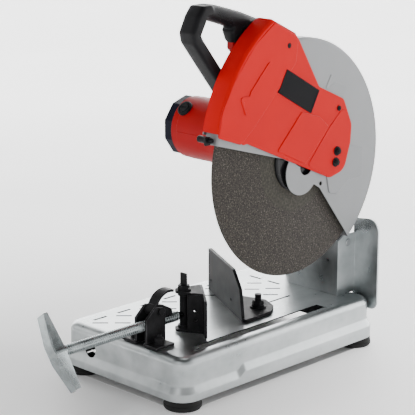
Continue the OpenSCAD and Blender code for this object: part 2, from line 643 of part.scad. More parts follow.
// Folded bar: a bent web with a triangular flange on each side
module t_handle() color([0.7, 0.72, 0.74]) at_vise() rotate([0, -37, 0]) difference() {
    union() {
        for (x = [-9, 6.5]) slab(x, x + 2.5) polygon([[tee_y, -12], [tee_y, 12], [tee_y - 3, handle_l / 2],
            [tee_y - 10, handle_l / 2], [tee_y - 20, 14], [tee_y - 20, -14], [tee_y - 10, -handle_l / 2],
            [tee_y - 3, -handle_l / 2]]);
        slab(-9, 9) polygon([[tee_y - 10, handle_l / 2], [tee_y - 20, 14], [tee_y - 20, -14],
            [tee_y - 10, -handle_l / 2], [tee_y - 7.5, -handle_l / 2], [tee_y - 17.5, -13.5],
            [tee_y - 17.5, 13.5], [tee_y - 7.5, handle_l / 2]]);
        bar_y(9.5, tee_y - 17.5, tee_y + 2);
    }
    bar_y(spindle_r + 0.02, tee_y - 4.01, tee_y + 50);
}
jaw_post_r = 6.5;
module at_jaw() translate([vise_x, jaw_y, 0]) rotate([0, 0, -jaw_angle]) children();
// Two trapezoid plates and the tube between them
module jaw_body() color([0.07, 0.07, 0.08]) difference() {
    at_jaw() {
        for (z = [[82, 85], [141, 144]]) translate([0, 0, z[0]]) linear_extrude(z[1] - z[0])
            polygon(outline([[-9, -13, 8], [9, -13, 8], [24, jaw_reach, 0], [-24, jaw_reach, 0]]));
        for (z = [[85, 90], [136, 141]]) bar_z(9, z[0], z[1]);
        for (x = [-21, 18]) translate([x, 4, 85]) difference() {
            cube([3, jaw_reach - 4, 56]);
            for (z = [18, 32]) translate([0, 12, z]) bar_x(2.5, -1, 4);
        }
    }
    at_jaw() bar_z(jaw_post_r + gap, 80, 150);
}
module jaw_plate() color([0.08, 0.08, 0.09]) at_jaw() translate([0, jaw_reach, 0]) rotate([90, 0, 180])
    linear_extrude(4) difference() {
        polygon(outline([[-47, 82, 2], [41, 82, 2], [41, 139, 3], [-47, 139, 3]]));
        for (x = [-34, 34]) translate([x, 110]) circle(r = 3, $fn = 24);
    }
// Jaw pin: post, nut, washer and the flat tab on top
module jaw_pin() color([0.45, 0.46, 0.48]) difference() {
    translate([vise_x, jaw_y, 0]) {
        bar_z(jaw_post_r, 82, 146);
        bar_z(11, 144.4, 146);
        hex_z(9, 146, 152);
        translate([-6, -1.5, 152]) cube([12, 3, 18]);
    }
    at_vise() bar_y(5 + gap, jaw_y - 30, jaw_y + 30);
    at_vise() bar_y(6.6 + gap, jaw_y + 8, jaw_y + 30);
}

// ---- fence ----

fence_pivot = [46.5, 31];
fence_s = 125.4;                 // pivot bolt from the plate's left end, along the plate
fence_n = 42.3;                  // and behind its front face
fence_lock = [-76, -21];         // lock bolt from the pivot bolt, in the fence's own directions
fence_lock_r = norm(fence_lock);
fence_lock_a = atan2(fence_lock.y, fence_lock.x);
fence_turn = 45;                 // travel of the fence, square to fully turned
module at_fence_pivot() translate([fence_pivot.x, fence_pivot.y, 0]) children();
module at_fence() at_fence_pivot() rotate([0, 0, -fence_angle]) translate([-fence_s, -fence_n, 0])
    children();
// Angle plate: upright face with a cut corner, and a foot
module fence_plate() color([0.1, 0.1, 0.11]) at_fence() difference() {
    union() {
        translate([0, 5, 0]) rotate([90, 0, 0]) linear_extrude(5) polygon(outline([[0, top_z + 0.4, 0],
            [fence_l, top_z + 0.4, 0], [fence_l - 14, top_z + fence_h - 22, 8],
            [fence_l - 48, top_z + fence_h, 4], [0, top_z + fence_h, 3]]));
        translate([0, 0, top_z + 0.4]) linear_extrude(5) polygon(outline([[0, 0, 0], [fence_l, 0, 0],
            [fence_l + 6, 5, 4], [150, 56, 14], [126, 68, 12], [92, 66, 14], [66, 38, 10], [4, 36, 6]]));
    }
    for (x = [14, 119]) translate([x, 0, top_z + 19.5]) bar_y(2.5, -1, 6);
    at_fence_bolts() bar_z(bolt_r + gap, top_z - 1, top_z + 9);
}
module at_fence_bolts() for (p = [[0, 0], fence_lock]) translate([fence_s + p.x, fence_n + p.y, 0])
    children();
module fence_bolts() color([0.1, 0.1, 0.11]) at_fence() at_fence_bolts() {
    bar_z(bolt_r, top_z - 14, top_z + 5.4);
    bar_z(9, top_z + 5.4, top_z + 8);
    hex_z(8, top_z + 8, top_z + 14);
    bar_z(5, top_z + 14, top_z + 22);
    bar_z(8.5, top_z - sheet - 2.6, top_z - sheet - 0.1);
    hex_z(7.5, top_z - sheet - 9, top_z - sheet - 2.6);
}

// ---- drawing ----

base_tray();
foot_front_left();
foot_front_right();
foot_rear_left();
foot_rear_right();
rear_bracket();
bracket_bolts();
pivot_shaft();
pivot_collars();
torsion_spring();
stop_screw();
arm_casting();
gearbox_cover();
gearbox_screws();
back_plate();
disc_guard();
red_cover();
cover_screws();
guard_bolts();
guard_knob();
label_plate();
cutting_disc();
inner_flange();
outer_flange();
arbor_bolt();
arbor_shaft();
arbor_gear();
arbor_bearings();
motor_housing();
motor_end_cap();
stator();
armature();
cooling_fan();
motor_pinion();
motor_bearings();
brush_caps();
carbon_brushes();
cable_gland();
handle_left();
handle_right();
handle_screws();
switch_unit();
trigger();
lock_off_button();
spindle_lock();
vise_bracket();
vise_bolts();
release_lever();
lever_pin();
vise_spindle();
t_handle();
jaw_body();
jaw_plate();
jaw_pin();
fence_plate();
fence_bolts();
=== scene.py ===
import json
import math

import bmesh
import bpy
from mathutils import Matrix, Vector


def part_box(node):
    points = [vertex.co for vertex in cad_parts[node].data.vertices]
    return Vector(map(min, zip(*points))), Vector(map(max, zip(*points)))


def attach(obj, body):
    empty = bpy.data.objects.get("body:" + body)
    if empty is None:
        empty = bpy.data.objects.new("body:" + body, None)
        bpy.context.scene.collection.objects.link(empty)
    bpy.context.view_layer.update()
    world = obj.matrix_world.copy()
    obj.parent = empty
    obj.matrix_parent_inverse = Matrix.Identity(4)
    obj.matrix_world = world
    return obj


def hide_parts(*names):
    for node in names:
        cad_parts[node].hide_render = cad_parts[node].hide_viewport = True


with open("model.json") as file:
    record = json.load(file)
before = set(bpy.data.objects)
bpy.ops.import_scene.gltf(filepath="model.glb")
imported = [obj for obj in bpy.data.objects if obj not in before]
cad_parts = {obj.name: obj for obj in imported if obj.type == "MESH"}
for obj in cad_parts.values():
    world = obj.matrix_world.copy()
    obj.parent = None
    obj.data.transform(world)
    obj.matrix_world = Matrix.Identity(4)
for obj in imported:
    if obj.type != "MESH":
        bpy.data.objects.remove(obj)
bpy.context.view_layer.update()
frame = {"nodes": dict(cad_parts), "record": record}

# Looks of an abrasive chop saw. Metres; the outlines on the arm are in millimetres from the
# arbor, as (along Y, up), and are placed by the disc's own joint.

MM = 0.001
RECORD = frame["record"]
NODES = frame["nodes"]
JOINTS = {j["name"]: Vector(j["pos_m"]) for j in RECORD["behaviour"]["joints"] if "pos_m" in j}
SLOTS = {s["node"]: s["material_slot"] for s in RECORD["subparts"]}
BODIES = {node: body for body, nodes in RECORD["behaviour"]["bodies"].items() for node in nodes}
ARBOR = JOINTS["disc_spin"]
MOTOR = JOINTS["rotor_spin"]
FEET = [f"foot_{end}_{side}" for end in ("front", "rear") for side in ("left", "right")]


# ---- materials: procedural, built from noise in object space ----

def node_tree(name):
    """A new material with its Principled shader and its object-space coordinates."""
    material = bpy.data.materials.new(name)
    material.use_nodes = True
    tree = material.node_tree
    shader = tree.nodes["Principled BSDF"]
    place = tree.nodes.new("ShaderNodeTexCoord")
    return material, tree, shader, place.outputs["Object"]


def noise(tree, place, scale, detail=4.0, stretch=(1, 1, 1)):
    """Noise over the object's own space; stretch draws it out along an axis."""
    mapping = tree.nodes.new("ShaderNodeMapping")
    mapping.inputs["Scale"].default_value = stretch
    tree.links.new(place, mapping.inputs["Vector"])
    texture = tree.nodes.new("ShaderNodeTexNoise")
    texture.inputs["Scale"].default_value = scale
    texture.inputs["Detail"].default_value = detail
    tree.links.new(mapping.outputs["Vector"], texture.inputs["Vector"])
    return texture.outputs["Fac"]


def cells(tree, place, scale):
    """Cell pattern, for spangle and pebble grain."""
    texture = tree.nodes.new("ShaderNodeTexVoronoi")
    texture.inputs["Scale"].default_value = scale
    tree.links.new(place, texture.inputs["Vector"])
    return texture


def ramp(tree, value, stops):
    """Colours by value: stops are (position, colour)."""
    node = tree.nodes.new("ShaderNodeValToRGB")
    while len(node.color_ramp.elements) < len(stops):
        node.color_ramp.elements.new(0.5)
    for element, (position, colour) in zip(node.color_ramp.elements, stops):
        element.position = position
        element.color = (*colour, 1)
    tree.links.new(value, node.inputs["Fac"])
    return node.outputs["Color"]


def spread(tree, value, low, high):
    """The middle of a noise's range, 0.3 to 0.7, mapped onto low..high."""
    node = tree.nodes.new("ShaderNodeMapRange")
    node.inputs["From Min"].default_value = 0.3
    node.inputs["From Max"].default_value = 0.7
    node.inputs["To Min"].default_value = low
    node.inputs["To Max"].default_value = high
    tree.links.new(value, node.inputs["Value"])
    return node.outputs["Result"]


def bump(tree, shader, value, strength, distance):
    """Small relief from a value, on the shader's normal."""
    node = tree.nodes.new("ShaderNodeBump")
    node.inputs["Strength"].default_value = strength
    node.inputs["Distance"].default_value = distance
    tree.links.new(value, node.inputs["Height"])
    tree.links.new(node.outputs["Normal"], shader.inputs["Normal"])


def shade(colour, amount):
    return tuple(min(1.0, c * amount) for c in colour)


def grey(value):
    return (value, value, value)


def plain(name, colour, rough, metal=0.0, scale=40, vary=0.12, grain=600, relief=0.1, depth=0.0002,
          coat=0.0, stretch=(1, 1, 1), specular=0.5):
    """Moulded, painted or ground surface: a slight cloudiness and a fine grain."""
    material, tree, shader, place = node_tree(name)
    shader.inputs["Metallic"].default_value = metal
    shader.inputs["Coat Weight"].default_value = coat
    shader.inputs["Specular IOR Level"].default_value = specular
    cloud = noise(tree, place, scale, 5.0, stretch)
    colours = [(0.3, shade(colour, 1 - vary)), (0.7, shade(colour, 1 + vary))]
    tree.links.new(ramp(tree, cloud, colours), shader.inputs["Base Color"])
    tree.links.new(spread(tree, cloud, rough - 0.06, rough + 0.06), shader.inputs["Roughness"])
    bump(tree, shader, noise(tree, place, grain, 3.0, stretch), relief, depth)
    return material


def galvanised(name):
    """Zinc-coated sheet: pale rolled streaks under a crystal pattern."""
    material, tree, shader, place = node_tree(name)
    shader.inputs["Metallic"].default_value = 1.0
    spangle = cells(tree, place, 85)
    streak = noise(tree, place, 24, 6.0, (1, 0.25, 1))
    mix = tree.nodes.new("ShaderNodeMath")
    mix.operation = "MULTIPLY_ADD"
    mix.inputs[1].default_value = 0.12
    tree.links.new(spangle.outputs["Distance"], mix.inputs[0])
    tree.links.new(streak, mix.inputs[2])
    colours = [(0.30, (0.30, 0.325, 0.33)), (0.52, (0.41, 0.435, 0.44)), (0.78, (0.52, 0.545, 0.55))]
    tree.links.new(ramp(tree, mix.outputs[0], colours), shader.inputs["Base Color"])
    tree.links.new(spread(tree, mix.outputs[0], 0.24, 0.36), shader.inputs["Roughness"])
    bump(tree, shader, mix.outputs[0], 0.03, 0.0006)
    return material


def abrasive(name, dark, middle, speck, scale, relief):
    """Resin-bonded grit: dark binder, brown grains and scattered pale specks."""
    material, tree, shader, place = node_tree(name)
    grit = noise(tree, place, scale, 8.0)
    shader.inputs["Roughness"].default_value = 0.85
    stops = [(0.34, dark), (0.50, middle), (0.60, shade(middle, 1.5)), (0.70, speck)]
    tree.links.new(ramp(tree, grit, stops), shader.inputs["Base Color"])
    bump(tree, shader, grit, relief, 0.0006)
    return material


def pebbled(name, colour, rough, scale, relief, specular=0.2):
    """Moulded plastic with a fine leather grain."""
    material, tree, shader, place = node_tree(name)
    shader.inputs["Specular IOR Level"].default_value = specular
    grain = cells(tree, place, scale)
    cloud = noise(tree, place, 30, 4.0)
    colours = [(0.3, shade(colour, 0.8)), (0.7, shade(colour, 1.25))]
    tree.links.new(ramp(tree, cloud, colours), shader.inputs["Base Color"])
    tree.links.new(spread(tree, cloud, rough - 0.05, rough + 0.07), shader.inputs["Roughness"])
    bump(tree, shader, grain.outputs["Distance"], relief, 0.0003)
    return material


SURFACES = {
    "galvanised": (galvanised, {}),
    "rubber": (pebbled, dict(colour=grey(0.014), rough=0.62, scale=900, relief=0.2)),
    "zinc_bolt": (plain, dict(colour=(0.34, 0.35, 0.36), rough=0.33, metal=1.0, scale=90, vary=0.15)),
    "black_steel": (plain, dict(colour=(0.014, 0.014, 0.015), rough=0.46, scale=55, vary=0.45,
                                grain=900, relief=0.18, specular=0.06)),
    "spring_steel": (plain, dict(colour=(0.16, 0.16, 0.17), rough=0.35, metal=1.0, scale=120, vary=0.15)),
    "cast_alloy": (plain, dict(colour=(0.45, 0.46, 0.48), rough=0.52, metal=0.9, scale=70,
                               grain=420, relief=0.5, depth=0.0005)),
    "guard_paint": (plain, dict(colour=(0.215, 0.22, 0.225), rough=0.42, metal=0.3, scale=16, vary=0.05,
                                grain=1500, depth=0.0001, specular=0.3)),
    "red_shell": (plain, dict(colour=(0.50, 0.0012, 0.0024), rough=0.34, scale=12, vary=0.04,
                              grain=1300, relief=0.05, depth=0.0001, specular=0.07)),
    "red_plastic": (plain, dict(colour=(0.34, 0.001, 0.003), rough=0.42, scale=30, vary=0.08,
                                grain=1200, relief=0.12, specular=0.08)),
    "black_plastic": (pebbled, dict(colour=(0.006, 0.006, 0.007), rough=0.40, scale=1300, relief=0.25,
                                    specular=0.12)),
    "navy_plastic": (pebbled, dict(colour=(0.002, 0.003, 0.011), rough=0.38, scale=1200, relief=0.2,
                                   specular=0.06)),
    "label_black": (plain, dict(colour=(0.005, 0.005, 0.006), rough=0.45, scale=25, vary=0.2,
                                grain=900, relief=0.04, depth=0.0001, specular=0.05)),
    "abrasive": (abrasive, dict(dark=(0.006, 0.005, 0.004), middle=(0.030, 0.025, 0.020),
                                speck=(0.15, 0.13, 0.11), scale=520, relief=0.8)),
    "gloss_black_steel": (plain, dict(colour=(0.006, 0.006, 0.007), rough=0.20, vary=0.2,
                                      grain=700, relief=0.05, depth=0.0001, specular=0.15)),
    "bare_steel": (plain, dict(colour=(0.56, 0.57, 0.58), rough=0.28, metal=1.0, scale=80, vary=0.10,
                               grain=900, depth=0.0001, stretch=(1, 6, 6))),
    "bearing_steel": (plain, dict(colour=(0.62, 0.63, 0.64), rough=0.16, metal=1.0, scale=60, vary=0.06)),
    "copper_winding": (plain, dict(colour=(0.45, 0.16, 0.06), rough=0.35, metal=0.9, scale=60, vary=0.2,
                                   grain=500, relief=0.5, depth=0.0006, coat=0.3, stretch=(9, 1, 1))),
    "carbon": (plain, dict(colour=(0.03, 0.03, 0.033), rough=0.6, metal=0.1, scale=200, vary=0.2)),
    "zinc_thread": (plain, dict(colour=(0.30, 0.33, 0.335), rough=0.26, metal=1.0, scale=65, vary=0.22,
                                grain=500, relief=0.2, depth=0.0003)),
}
MATERIALS = {name: make(name, **look) for name, (make, look) in SURFACES.items()}
WORN_EDGE = plain("worn_edge", (0.06, 0.06, 0.063), 0.36, metal=0.8, scale=160, vary=0.7)
# painted shade: near-black colour for the tray's inner sheet and its slot and hole walls, in place of the
# shadow under the tray
TRAY_PAINTED_SHADE = plain("tray_inside_painted_shade", (0.016, 0.017, 0.018), 0.7, scale=60, vary=0.2, specular=0.1)
HOLE_BLACK = plain("hole_black", grey(0.004), 0.7, scale=60, vary=0.2)
DISC_CENTRE = abrasive("disc_centre", (0.018, 0.016, 0.011), (0.030, 0.027, 0.020), (0.05, 0.045, 0.035),
                       scale=300, relief=0.25)
for node, slot in SLOTS.items():
    mesh = NODES[node].data
    mesh.materials.clear()
    mesh.materials.append(MATERIALS[slot])


# ---- building blocks ----

def settle(ob, slot, body, replaced=(), material=None, angle=35):
    """Gives a new piece its slot's finish, smooth shading and body, and hides the nodes it stands for."""
    ob.data.materials.clear()
    ob.data.materials.append(material or MATERIALS[slot])
    for face in ob.data.polygons:
        face.use_smooth = True
    ob.data.set_sharp_from_angle(angle=math.radians(angle))
    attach(ob, body)
    if replaced:
        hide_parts(*replaced)


def from_bmesh(name, bm):
    """A new object from bm, with its faces turned outward."""
    bmesh.ops.recalc_face_normals(bm, faces=bm.faces)
    mesh = bpy.data.meshes.new(name)
    bm.to_mesh(mesh)
    bm.free()
    ob = bpy.data.objects.new(name, mesh)
    bpy.context.scene.collection.objects.link(ob)
    return ob


def apply_modifiers(ob):
    """Bakes the modifiers into the mesh."""
    graph = bpy.context.evaluated_depsgraph_get()
    mesh = bpy.data.meshes.new_from_object(ob.evaluated_get(graph))
    ob.modifiers.clear()
    ob.data = mesh
    return ob


def loft(rings, name, closed=False):
    """Skin over rings of points: capped at both ends, or closed from the last ring to the first."""
    bm = bmesh.new()
    loops = [[bm.verts.new(p) for p in ring] for ring in rings]
    pairs = list(zip(loops, loops[1:])) + ([(loops[-1], loops[0])] if closed else [])
    for a, b in pairs:
        for i in range(len(a)):
            j = (i + 1) % len(a)
            bm.faces.new((a[i], a[j], b[j], b[i]))
    if not closed:
        bm.faces.new(loops[0])
        bm.faces.new(loops[-1][::-1])
    return from_bmesh(name, bm)


def lathe(name, profile, centre, axis=0, count=96, phase=0.0, solid=False):
    """Turned piece: profile is (place along the axis, radius); axis 0, 1 or 2 is X, Y or Z.

    A solid piece is capped at both ends; otherwise the profile closes on itself, as a ring does.
    """
    across, up = [i for i in range(3) if i != axis]
    rings = []
    for along, r in profile:
        ring = []
        for k in range(count):
            turn = math.tau * (k + phase) / count
            point = Vector(centre)
            point[axis] = along
            point[across] += r * math.cos(turn)
            point[up] += r * math.sin(turn)
            ring.append(point)
        rings.append(ring)
    return loft(rings, name, closed=not solid)


def tube(name, path, radius, count=12):
    """Round wire along a path."""
    rings = []
    for i, p in enumerate(path):
        ahead = (path[min(i + 1, len(path) - 1)] - path[max(i - 1, 0)]).normalized()
        side = ahead.orthogonal().normalized() if i == 0 else (side - ahead * side.dot(ahead)).normalized()
        up = ahead.cross(side)
        turn = [math.tau * k / count for k in range(count)]
        rings.append([p + radius * (math.cos(t) * side + math.sin(t) * up) for t in turn])
    return loft(rings, name)


def on_arm(points, x):
    """Outline points in millimetres from the arbor, placed at a height x along the arbor."""
    return [Vector((x, ARBOR.y + p[0] * MM, ARBOR.z + p[1] * MM)) for p in points]


def arc(centre, radius, start, end, count):
    """Points on an arc between two angles in degrees."""
    steps = [math.radians(start + (end - start) * i / count) for i in range(count + 1)]
    return [(centre[0] + radius * math.cos(a), centre[1] + radius * math.sin(a)) for a in steps]


def rounded(points):
    """Outline from (x, y, corner radius)."""
    count = 6
    out = []
    for i, (x, y, r) in enumerate(points):
        b = Vector((x, y))
        u = (Vector(points[i - 1][:2]) - b).normalized()
        w = (Vector(points[(i + 1) % len(points)][:2]) - b).normalized()
        half = u.angle(w) / 2
        middle = b + (u + w).normalized() * (r / math.sin(half))
        s = b + u * (r / math.tan(half)) - middle
        e = b + w * (r / math.tan(half)) - middle
        start = math.atan2(s.y, s.x)
        turn = math.atan2(s.x * e.y - s.y * e.x, s.dot(e))
        steps = [start + turn * k / count for k in range(count + 1)]
        out += [(middle.x + r * math.cos(a), middle.y + r * math.sin(a)) for a in steps]
    return out


def panel(name, outline, x0, x1, edge, segments=3):
    """Plate on the arm: an outline in arbor millimetres between two places along X, edges rounded."""
    ob = loft([on_arm(outline, x0), on_arm(outline, x1)], name)
    return soften(ob, edge, segments)


def soften(ob, width, segments=3, angle=30, worn=False):
    """Rounds the sharp edges; a worn piece shows a lighter edge there."""
    bevel = ob.modifiers.new("edges", "BEVEL")
    bevel.width = width
    bevel.segments = segments
    bevel.limit_method = "ANGLE"
    bevel.angle_limit = math.radians(angle)
    bevel.material = 1 if worn else -1
    return ob


def cad_copy(node, width, segments=2, worn=False):
    """A piece with the CAD node's own form, its flat faces joined up and its edges rounded."""
    ob = bpy.data.objects.new(f"{node}_detail", NODES[node].data.copy())
    bpy.context.scene.collection.objects.link(ob)
    bm = bmesh.new()
    bm.from_mesh(ob.data)
    bmesh.ops.remove_doubles(bm, verts=bm.verts, dist=0.00002)
    bmesh.ops.dissolve_limit(bm, angle_limit=math.radians(1), verts=bm.verts, edges=bm.edges)
    bm.to_mesh(ob.data)
    bm.free()
    soften(ob, width, segments, worn=worn)
    settle(ob, SLOTS[node], BODIES[node], [node])
    if worn:
        ob.data.materials.append(WORN_EDGE)


def boolean(ob, cutter):
    """Cuts one piece with another and removes the cutter."""
    cut = ob.modifiers.new("cut", "BOOLEAN")
    cut.object = cutter
    cut.operation = "DIFFERENCE"
    cut.solver = "EXACT"
    apply_modifiers(ob)
    bpy.data.objects.remove(cutter)


def box_verts(bm, low, high, turn=0.0):
    """Adds a box to bm, turned about its own upright axis."""
    middle = (Vector(low) + Vector(high)) / 2
    size = Vector(high) - Vector(low)
    matrix = Matrix.Translation(middle) @ Matrix.Rotation(turn, 4, "Z") @ Matrix.Diagonal((*size, 1))
    bmesh.ops.create_cube(bm, size=1, matrix=matrix)


def hex_bolt(name, centre, axis, across, head, washers, stud=None, body="base"):
    """Black bolt head on washers along an axis, with chamfered corners and perhaps a threaded end.

    across is the corner radius; washers are (radius, thickness); stud is (radius, length).
    """
    bm = bmesh.new()
    turn = Vector((0, 0, 1)).rotation_difference(Vector(axis)).to_matrix().to_4x4()

    def disc(r0, r1, z0, z1, count):
        middle = Matrix.Translation((0, 0, (z0 + z1) / 2))
        bmesh.ops.create_cone(bm, cap_ends=True, segments=count, radius1=r0, radius2=r1, depth=z1 - z0,
                              matrix=middle)

    z = 0.0
    for radius, thick in washers:
        disc(radius, radius, z, z + thick, 40)
        z += thick + 0.0001
    disc(across, across, z, z + head * 0.8, 6)
    disc(across, across * 0.84, z + head * 0.8, z + head, 6)
    z += head
    if stud:
        radius, length = stud
        pitch = 0.00125
        count = max(2, int(length / pitch))
        for i in range(count):
            start, crest, end = (z + length * (i + part) / count for part in (0, 0.5, 1))
            disc(radius, radius * 0.86, start, crest, 24)
            disc(radius * 0.86, radius, crest, end, 24)
    bmesh.ops.transform(bm, matrix=Matrix.Translation(centre) @ turn, verts=bm.verts)
    ob = from_bmesh(name, bm)
    soften(ob, 0.0003, 2)
    settle(ob, "black_steel", body)


# ---- base ----

def tray():
    """Pressed tray: bottom lip, a shoulder that steps up at the back, a soft top fold and slots, with painted
    shade inside.
    """
    low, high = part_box("base_tray")
    width, length = high.x - low.x, high.y - low.y
    corner, wall, fold, sheet = 0.030, 0.006, 0.012, 0.002
    jog_start, jog_end, jog = -0.104, -0.088, 0.008

    def lift(y):
        """Height of the shoulder's step at y."""
        t = min(1.0, max(0.0, (y - jog_start) / (jog_end - jog_start)))
        return jog * t * t * (3 - 2 * t)

    def ring(inset, z, lifted):
        """Rounded rectangle round the tray; lifted rings follow the step."""
        w, l, r = width / 2 - inset, length / 2 - inset, max(corner - inset, 0.004)
        points = []
        # corners in turn; the two long sides have closer points along the step
        for sx, sy, start in ((1, -1, -90), (1, 1, 0), (-1, 1, 90), (-1, -1, 180)):
            points += arc((sx * (w - r), sy * (l - r)), r, start, start + 90, 10)
            if (sx, sy) == (1, -1):
                points += [(w, jog_start - 0.004 + 0.024 * i / 12) for i in range(13)]
            if (sx, sy) == (-1, 1):
                points += [(-w, jog_end + 0.004 - 0.024 * i / 12) for i in range(13)]
        return [Vector((x, y, low.z + z + lifted * lift(y))) for x, y in points]

    height = high.z - low.z
    shape = [(0, 0, 0), (0, 0.0095, 1), (0.0003, 0.0112, 1), (0.0011, 0.0125, 1), (0.0049, 0.0195, 1),
             (0.0057, 0.0210, 1), (wall, 0.0228, 1), (wall, height - fold, 0)]
    for i in range(1, 9):
        a = math.radians(90 * i / 8)
        shape.append((wall + fold * (1 - math.cos(a)), height - fold + fold * math.sin(a), 0))
    shape.append((wall + fold + 0.004, height, 0))
    bm = bmesh.new()
    loops = [[bm.verts.new(p) for p in ring(*level)] for level in shape]
    for a, b in zip(loops, loops[1:]):
        for i in range(len(a)):
            j = (i + 1) % len(a)
            bm.faces.new((a[i], a[j], b[j], b[i]))
    bm.faces.new(loops[-1])
    ob = from_bmesh("base_tray_pressed", bm)
    thick = ob.modifiers.new("sheet", "SOLIDIFY")
    thick.thickness = sheet
    thick.offset = -1
    # the inner side of the sheet takes the painted shade
    thick.material_offset = 1
    ob.data.materials.append(MATERIALS["galvanised"])
    ob.data.materials.append(TRAY_PAINTED_SHADE)
    apply_modifiers(ob)

    # the cutters, like the inside of the sheet, leave the near-black painted shade on what they cut
    cutters = bmesh.new()
    disc_slot = 0.018
    deep = 0.006

    def slot_cut(x, y, turn, long=0.024, wide=0.0046):
        half = Vector((long / 2, wide / 2, deep))
        middle = Vector((x, y, high.z))
        box_verts(cutters, middle - half, middle + half, math.radians(turn))

    for i in range(6):
        slot_cut(-0.098, -0.168 + 0.049 * i, 90, 0.026)
        slot_cut(-0.081, -0.183 + 0.0485 * i, 45)
    for i in range(5):
        slot_cut(-0.057, -0.159 + 0.0485 * i, 45)
    for i in range(2):
        slot_cut(-0.075 + 0.041 * i, 0.155, 0, 0.026)
        slot_cut(-0.054 + 0.041 * i, 0.130, 45)
        slot_cut(-0.034 + 0.041 * i, 0.103, 45)
    slot_cut(0.032, 0.097, 90, 0.048, 0.004)
    box_verts(cutters, (ARBOR.x - disc_slot / 2, -0.156, high.z - deep),
              (ARBOR.x + disc_slot / 2, 0.116, high.z + deep))
    hole = Matrix.Translation((-0.069, low.y, 0.048)) @ Matrix.Rotation(math.pi / 2, 4, "X")
    hole_r = 0.012
    bmesh.ops.create_cone(cutters, cap_ends=True, segments=40, radius1=hole_r, radius2=hole_r, depth=0.05,
                          matrix=hole)
    cutter = from_bmesh("tray_cutters", cutters)
    cutter.data.materials.append(MATERIALS["galvanised"])
    cutter.data.materials.append(TRAY_PAINTED_SHADE)
    for face in cutter.data.polygons:
        face.material_index = 1
    boolean(ob, cutter)
    soften(ob, 0.0004, 2, 40)
    # the material index of each face, so the painted-shade faces outlast settle's reset of the materials
    inside = [face.material_index for face in ob.data.polygons]
    settle(ob, "galvanised", "base", ["base_tray"], angle=40)
    ob.data.materials.append(TRAY_PAINTED_SHADE)
    for face, index in zip(ob.data.polygons, inside):
        face.material_index = index

    corner_tabs(low.z, sheet)


def corner_tabs(bottom, sheet):
    """Tabs at the tray's corners that the feet are bolted to."""
    inner, outer = 0.030, 0.018
    bm = bmesh.new()
    for node in FEET:
        a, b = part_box(node)
        middle = (a + b) / 2
        sx, sy = math.copysign(1, middle.x), math.copysign(1, middle.y)
        xs = sorted((middle.x - sx * inner, middle.x + sx * outer))
        ys = sorted((middle.y - sy * inner, middle.y + sy * outer))
        box_verts(bm, (xs[0], ys[0], bottom + 0.0001), (xs[1], ys[1], bottom + sheet))
    tabs = soften(from_bmesh("tray_corner_tabs", bm), 0.0005)
    settle(tabs, "galvanised", "base")


def feet():
    """Rubber feet with a rounded tread, a waist where the tray sits and a hole for the bolt."""
    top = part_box("base_tray")[0].z
    for node in FEET:
        low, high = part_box(node)
        r = (high.x - low.x) / 2
        hole, neck, head = 0.0045, 0.012, 0.0148
        profile = [(0, hole), (0, r - 0.004), (0.0008, r - 0.0015), (0.003, r), (0.0075, r),
                   (0.0085, r - 0.001), (top - 0.0015, r - 0.001), (top, r - 0.002), (top, neck),
                   (top + 0.0022, neck), (top + 0.0024, head), (high.z - 0.001, head - 0.0002),
                   (high.z, 0.0135), (high.z, hole)]
        foot = lathe(f"{node}_moulded", profile, (low + high) / 2, axis=2, count=64)
        settle(foot, "rubber", "base", [node])


def base_fittings():
    """Bracket, pivot and vise pieces that keep the CAD form, and the vise bolts."""
    cad_copy("rear_bracket", 0.0012, 3)
    cad_copy("pivot_shaft", 0.0008)
    cad_copy("bracket_bolts", 0.0004)
    cad_copy("vise_bracket", 0.0007, worn=True)
    cad_copy("lever_pin", 0.0005)
    cad_copy("release_lever", 0.0006, worn=True)
    low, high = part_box("vise_bolts")
    middle = (low + high) / 2
    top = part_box("vise_bracket")[0].z + 0.004
    washer_r = 0.0085
    for name, x in (("near", high.x - washer_r), ("far", low.x + washer_r)):
        hex_bolt(f"vise_bolt_{name}", (x, middle.y, top), (0, 0, 1), 0.0075, 0.0062,
                 [(washer_r, 0.0014), (0.0078, 0.0016)], (0.0039, 0.0055))
    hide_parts("vise_bolts")


def return_spring():
    """Coil round the pivot shaft, with one leg down to the bracket."""
    low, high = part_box("torsion_spring")
    pivot = JOINTS["arm_pivot"]
    wire, radius, leg, turns, per = 0.0014, 0.011, 0.036, 4, 24
    x0, x1 = low.x + wire, high.x - wire
    path = []
    for i in range(turns * per + 1):
        a = math.tau * i / per
        x = x0 + (x1 - x0) * i / (turns * per)
        path.append(Vector((x, pivot.y + radius * math.cos(a), pivot.z + radius * math.sin(a))))
    path.insert(0, Vector((x0, pivot.y + radius, pivot.z - leg)))
    ob = tube("torsion_spring_coil", path, wire, 10)
    settle(ob, "spring_steel", "base", ["torsion_spring"])


# ---- arm: guard and cover ----

GUARD_FRONT = (-36, 8)       # lip meets the rounded foot
GUARD_VALLEY = (47, -50)     # behind the rounded foot
FOOT_CENTRE = (6, -18)       # rounded foot below the arbor


